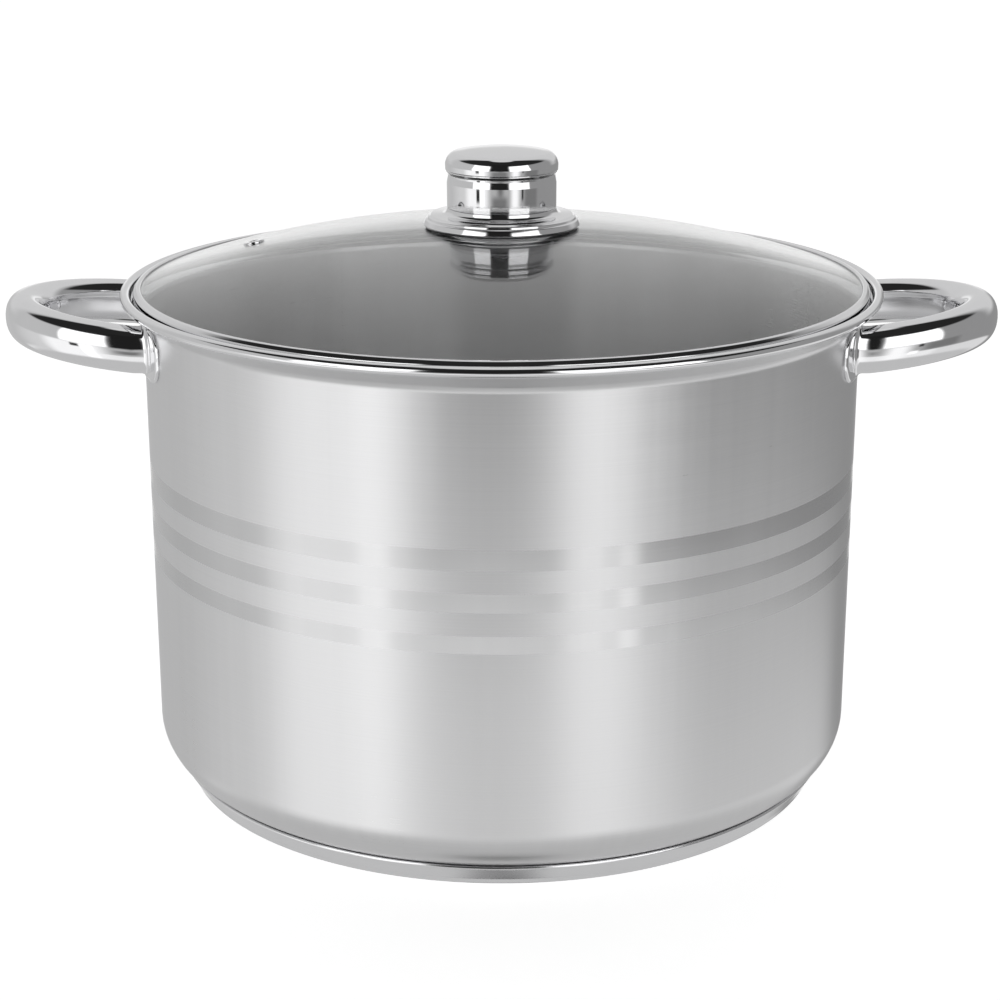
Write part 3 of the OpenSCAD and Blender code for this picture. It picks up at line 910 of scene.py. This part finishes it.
def rack_hinge_tubes():
    """Four short tubes on the top ring, which the bails turn in."""
    bore = HEAVY_R + 0.06 * MM
    half = EYE_L / 2
    edge = 0.35 * MM
    corners = [(bore, -half, edge), (EYE_R, -half, edge), (EYE_R, half, edge), (bore, half, edge)]
    lying = Matrix.Rotation(math.pi / 2, 4, "X")
    bm = bmesh.new()
    for sx in (-1, 1):
        for sy in (-1, 1):
            place = Matrix.Translation((sx * EYE_X, sy * EYE_Y, EYE_Z)) @ lying
            add_lathe(bm, rounded(corners, 3), 40, place)
    return fit(finish_mesh("rack_hinge_tubes", bm, wire_plating), "rack", "rack_wire", "rack_eyes")


def lifting_bail(name, side, node):
    """A bent-wire bail folded towards the middle, with an end pin in each eye."""
    _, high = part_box(node)
    pin_bend, far_bend = 5 * MM, 22 * MM
    arm_y = EYE_Y - EYE_L / 2 - 0.3 * MM - pin_bend
    far_x = EYE_X - BAIL_REACH
    half = [(EYE_X, high.y - HEAVY_R * 0.5), (EYE_X, EYE_Y)]
    half += arc((EYE_X - pin_bend, arm_y + pin_bend), pin_bend, 0, -90, 8)
    half += arc((far_x + far_bend, arm_y - far_bend), far_bend, 90, 180, 14)
    path = half + [(x, -y) for x, y in reversed(half)]
    bm = bmesh.new()
    add_wire(bm, [(side * x, y, EYE_Z) for x, y in path], HEAVY_R, sides=20)
    return fit(finish_mesh(name, bm, wire_plating, 60), node, "rack_wire", node)


# ---- studio ----


def camera():
    """A short telephoto view from the front, a little above the rim."""
    data = bpy.data.cameras.new("camera")
    data.lens = 80.17
    data.sensor_width = 36
    data.shift_x = -0.0017
    view = bpy.data.objects.new("camera", data)
    view.location = (0, -1.1103, 0.4783)
    aim = Vector((0, 0, 0.1376)) - view.location
    view.rotation_euler = aim.to_track_quat("-Z", "Y").to_euler()
    bpy.context.scene.collection.objects.link(view)
    bpy.context.scene.camera = view


# Cards of light and dark round the object: direction 0 is the front, + towards +X, in degrees.
# Each is (from, to, edge) round the object, (low, high, edge) in elevation, then its radiance.
# A later card covers an earlier one, and DIM is the radiance where there is none.
DIM = 0.48
CARDS = [
    ("left_side", (-200, -50, 10), (-60, 50, 5), 0.55),
    ("right_side", (45, 200, 8), (-60, 50, 5), 0.30),
    ("back_left", (-200, -125, 12), (6, 75, 6), 0.66),
    ("back_right", (125, 200, 12), (6, 75, 6), 0.66),
    ("horizon_left", (-200, -163, 5), (-32, 8, 4), 0.92),
    ("horizon_right", (163, 200, 5), (-32, 8, 4), 0.92),
    ("table", (-60, 140, 6), (-95, -20.8, 1.5), 0.78),
    ("table_front", (-34, 60, 6), (-95, -21.5, 1.2), 0.96),
    ("table_left", (-125, -56, 6), (-60, -30, 3), 0.85),
    ("overhead", (-200, 200, 1), (76, 95, 5), 0.70),
    ("ceiling", (-115, 115, 8), (32, 78, 3), 0.02),
    ("front_edge", (-20, 12, 7), (-17.5, -11, 1.5), 0.20),
    ("front_low", (-8, 3, 7), (-11, -6, 2), 0.16),
    ("left_fringe", (-110, -40, 22), (-45, -7, 2), 0.70),
    ("left_glow", (-78, -29, 9), (-45, -7, 2), 1.08),
    ("right_glow", (20, 36, 6), (-45, -7, 2), 1.12),
    ("left_core", (-46, -36, 1.5), (-45, -7, 2), 1.28),
    ("right_core", (37, 44, 1.5), (-26, -19, 2), 1.3),
    ("left_post", (-54, -47, 1), (-13, -8, 1), 0.03),
    ("right_post", (42, 46, 1), (-12, -7, 1), 0.04),
    ("right_shade", (50, 78, 5), (-19, -7, 2), 0.20),
    ("front", (-24, 15, 4), (-6, 46, 2), 0.015),
    ("left_box", (-62, -25, 2), (-6, 32, 2), 1.5),
    ("right_box", (16, 60, 2), (-6, 32, 2), 1.5),
    ("low_table", (-200, 200, 1), (-95, -36, 4), 0.57),
    ("under", (-200, 200, 1), (-95, -82, 3), 0.04),
]


def studio():
    """A soft studio made of cards, seen in reflections; the camera itself sees plain white."""
    world = bpy.data.worlds.new("studio")
    world.use_nodes = True
    bpy.context.scene.world = world
    tree = world.node_tree
    direction = add(tree, "ShaderNodeTexCoord").outputs["Generated"]
    axes = add(tree, "ShaderNodeSeparateXYZ", {0: direction}).outputs
    turn = calc(tree, "ARCTAN2", axes[0], calc(tree, "MULTIPLY", axes[1], -1.0))
    turn = calc(tree, "MULTIPLY", turn, math.degrees(1))
    height = calc(tree, "MULTIPLY", calc(tree, "ARCSINE", axes[2]), math.degrees(1))
    light = DIM
    for _, around, up, radiance in CARDS:
        mask = calc(tree, "MULTIPLY", window(tree, turn, *around), window(tree, height, *up))
        light = blend_value(tree, mask, light, radiance)
    path = add(tree, "ShaderNodeLightPath").outputs
    bounced = calc(tree, "ADD", path["Glossy Depth"], path["Diffuse Depth"])
    through = calc(tree, "MULTIPLY", path["Is Transmission Ray"], calc(tree, "LESS_THAN", bounced, 0.5))
    seen = calc(tree, "MAXIMUM", path["Is Camera Ray"], through)
    strength = blend_value(tree, seen, light, 1.0)
    tree.links.new(strength, tree.nodes["Background"].inputs["Strength"])
    tree.nodes["Background"].inputs["Color"].default_value = (1, 1, 1, 1)


def floor():
    """A wide pale floor with a soft contact shadow, see-through from below."""
    half_width = 30
    bm = bmesh.new()
    bmesh.ops.create_grid(bm, x_segments=1, y_segments=1, size=half_width)
    material = bpy.data.materials.new("pale_floor")
    material.use_nodes = True
    tree = material.node_tree
    tree.nodes.remove(tree.nodes["Principled BSDF"])
    output = tree.nodes["Material Output"]
    diffuse = add(tree, "ShaderNodeBsdfDiffuse", {"Color": (0.75, 0.75, 0.75, 1)})
    glow = add(tree, "ShaderNodeEmission", {"Color": (1, 1, 1, 1), "Strength": 0.78})
    lit = add(tree, "ShaderNodeAddShader", {0: diffuse.outputs[0], 1: glow.outputs[0]})
    clear = add(tree, "ShaderNodeBsdfTransparent")
    below = add(tree, "ShaderNodeNewGeometry").outputs["Backfacing"]
    sides = add(tree, "ShaderNodeMixShader", {0: below, 1: lit.outputs[0], 2: clear.outputs[0]})
    tree.links.new(sides.outputs[0], output.inputs["Surface"])
    material.cycles.emission_sampling = "NONE"
    plane = finish_mesh("floor", bm, material)
    plane.location.z = -0.05 * MM
    plane.visible_glossy = False


# ---- assembly ----

camera()
pot_body()
base_cover()
for name, side in (("left", -1), ("right", 1)):
    handle_loop(f"loop_handle_{name}", side, f"handle_{name}")
    handle_feet(f"foot_flanges_{name}", side, f"handle_feet_{name}")
lid_dome()
lid_rim()
vent_ring()
knob_top()
knob_grip()
knob_flange()
under_cup()
wire_ring("rack_lower_hoop", RACK_R, HEAVY_R, [BASE_RING_Z], "rack_base_ring")
wire_ring("rack_upper_hoop", RACK_R, HEAVY_R, [TOP_RING_Z], "rack_top_ring")
wire_ring("rack_hub_hoops", HUB_R, LIGHT_R, [LOWER_HUB_Z, TOP_RING_Z], "rack_hub_rings")
rack_floor()
rack_cross_bars()
rack_legs()
rack_stakes()
rack_dividers()
rack_hub_posts()
rack_hinge_tubes()
lifting_bail("lifting_bail_left", -1, "bail_left")
lifting_bail("lifting_bail_right", 1, "bail_right")

CARRIED_OVER = {
    "base_disc": aluminium,
    "knob_core": phenolic,
    "knob_insert": brass,
    "knob_screw": screw_steel,
    "screw_washer": screw_steel,
    "gasket_upper": rubber,
    "gasket_lower": rubber,
}
for node, material in CARRIED_OVER.items():
    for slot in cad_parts[node].material_slots:
        slot.material = material

studio()
floor()
bpy.context.scene.view_settings.view_transform = "Standard"
